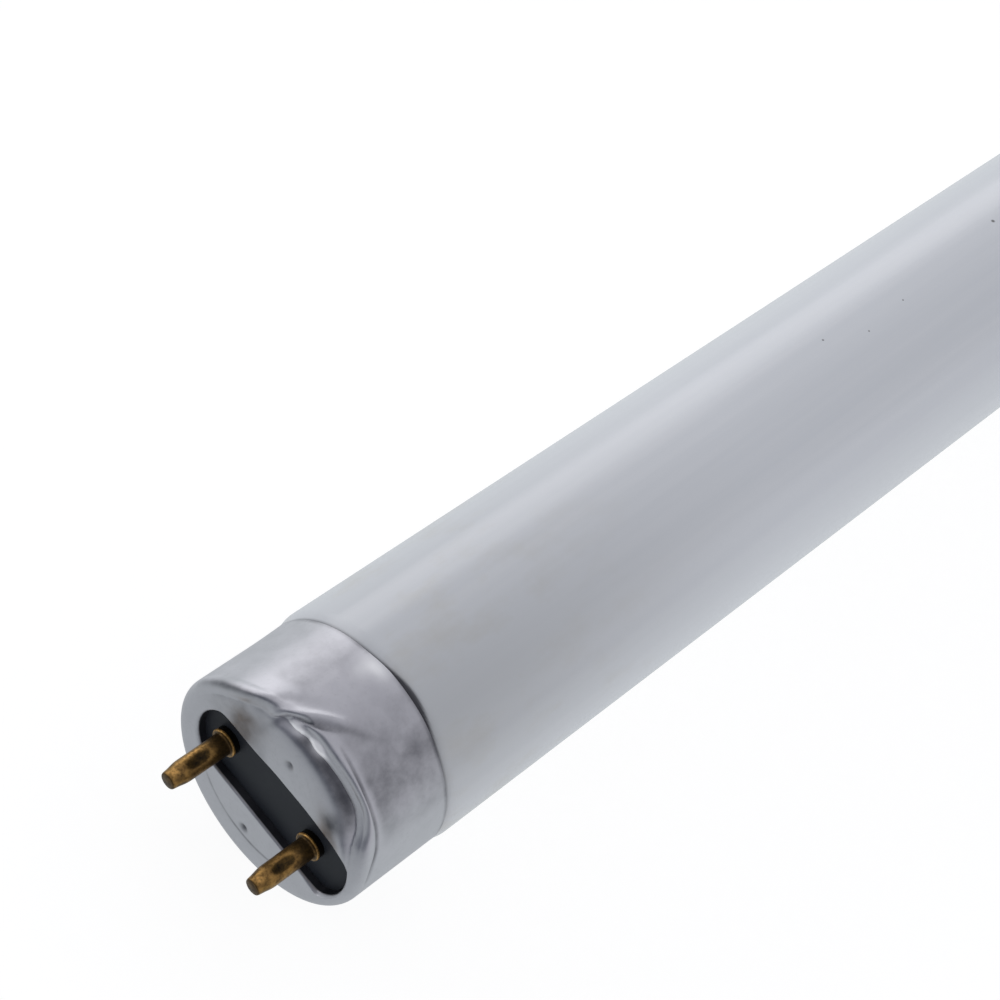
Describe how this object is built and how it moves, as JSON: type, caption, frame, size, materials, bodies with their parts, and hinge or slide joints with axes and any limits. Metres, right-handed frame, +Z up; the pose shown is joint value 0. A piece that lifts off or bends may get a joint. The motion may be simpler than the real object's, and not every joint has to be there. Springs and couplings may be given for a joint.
{
  "type": "fluorescent tube",
  "caption": "Straight fluorescent tube with a two-pin metal cap on each end; one cap is dented at its rim.",
  "frame": {"origin": "centre of the near cap's rim, midway between its two pins, on the tube's axis", "axes": "+X along the tube away from the near pins, +Y through the two pins of a cap, +Z up"},
  "size_m": [0.6028, 0.0258, 0.0258],
  "materials": {
    "coated_glass": "smooth glass, white powder coating on the inside",
    "cap_aluminium": "soft satin, handled and dented",
    "insulator_board": "dark pressed board, half gloss",
    "pin_brass": "darkened, worn bright on the edges",
    "cap_cement": "baked cement, dull",
    "wire_metal": "drawn wire"
  },
  "bodies": {
    "root": {"glass_tube": "coated_glass", "near_cap_shell": "cap_aluminium", "near_insulator": "insulator_board", "near_pin_a": "pin_brass", "near_pin_b": "pin_brass", "near_cement": "cap_cement", "near_lead_wire_a": "wire_metal", "near_lead_wire_b": "wire_metal", "far_cap_shell": "cap_aluminium", "far_insulator": "insulator_board", "far_pin_a": "pin_brass", "far_pin_b": "pin_brass", "far_cement": "cap_cement", "far_lead_wire_a": "wire_metal", "far_lead_wire_b": "wire_metal"}
  },
  "joints": []
}
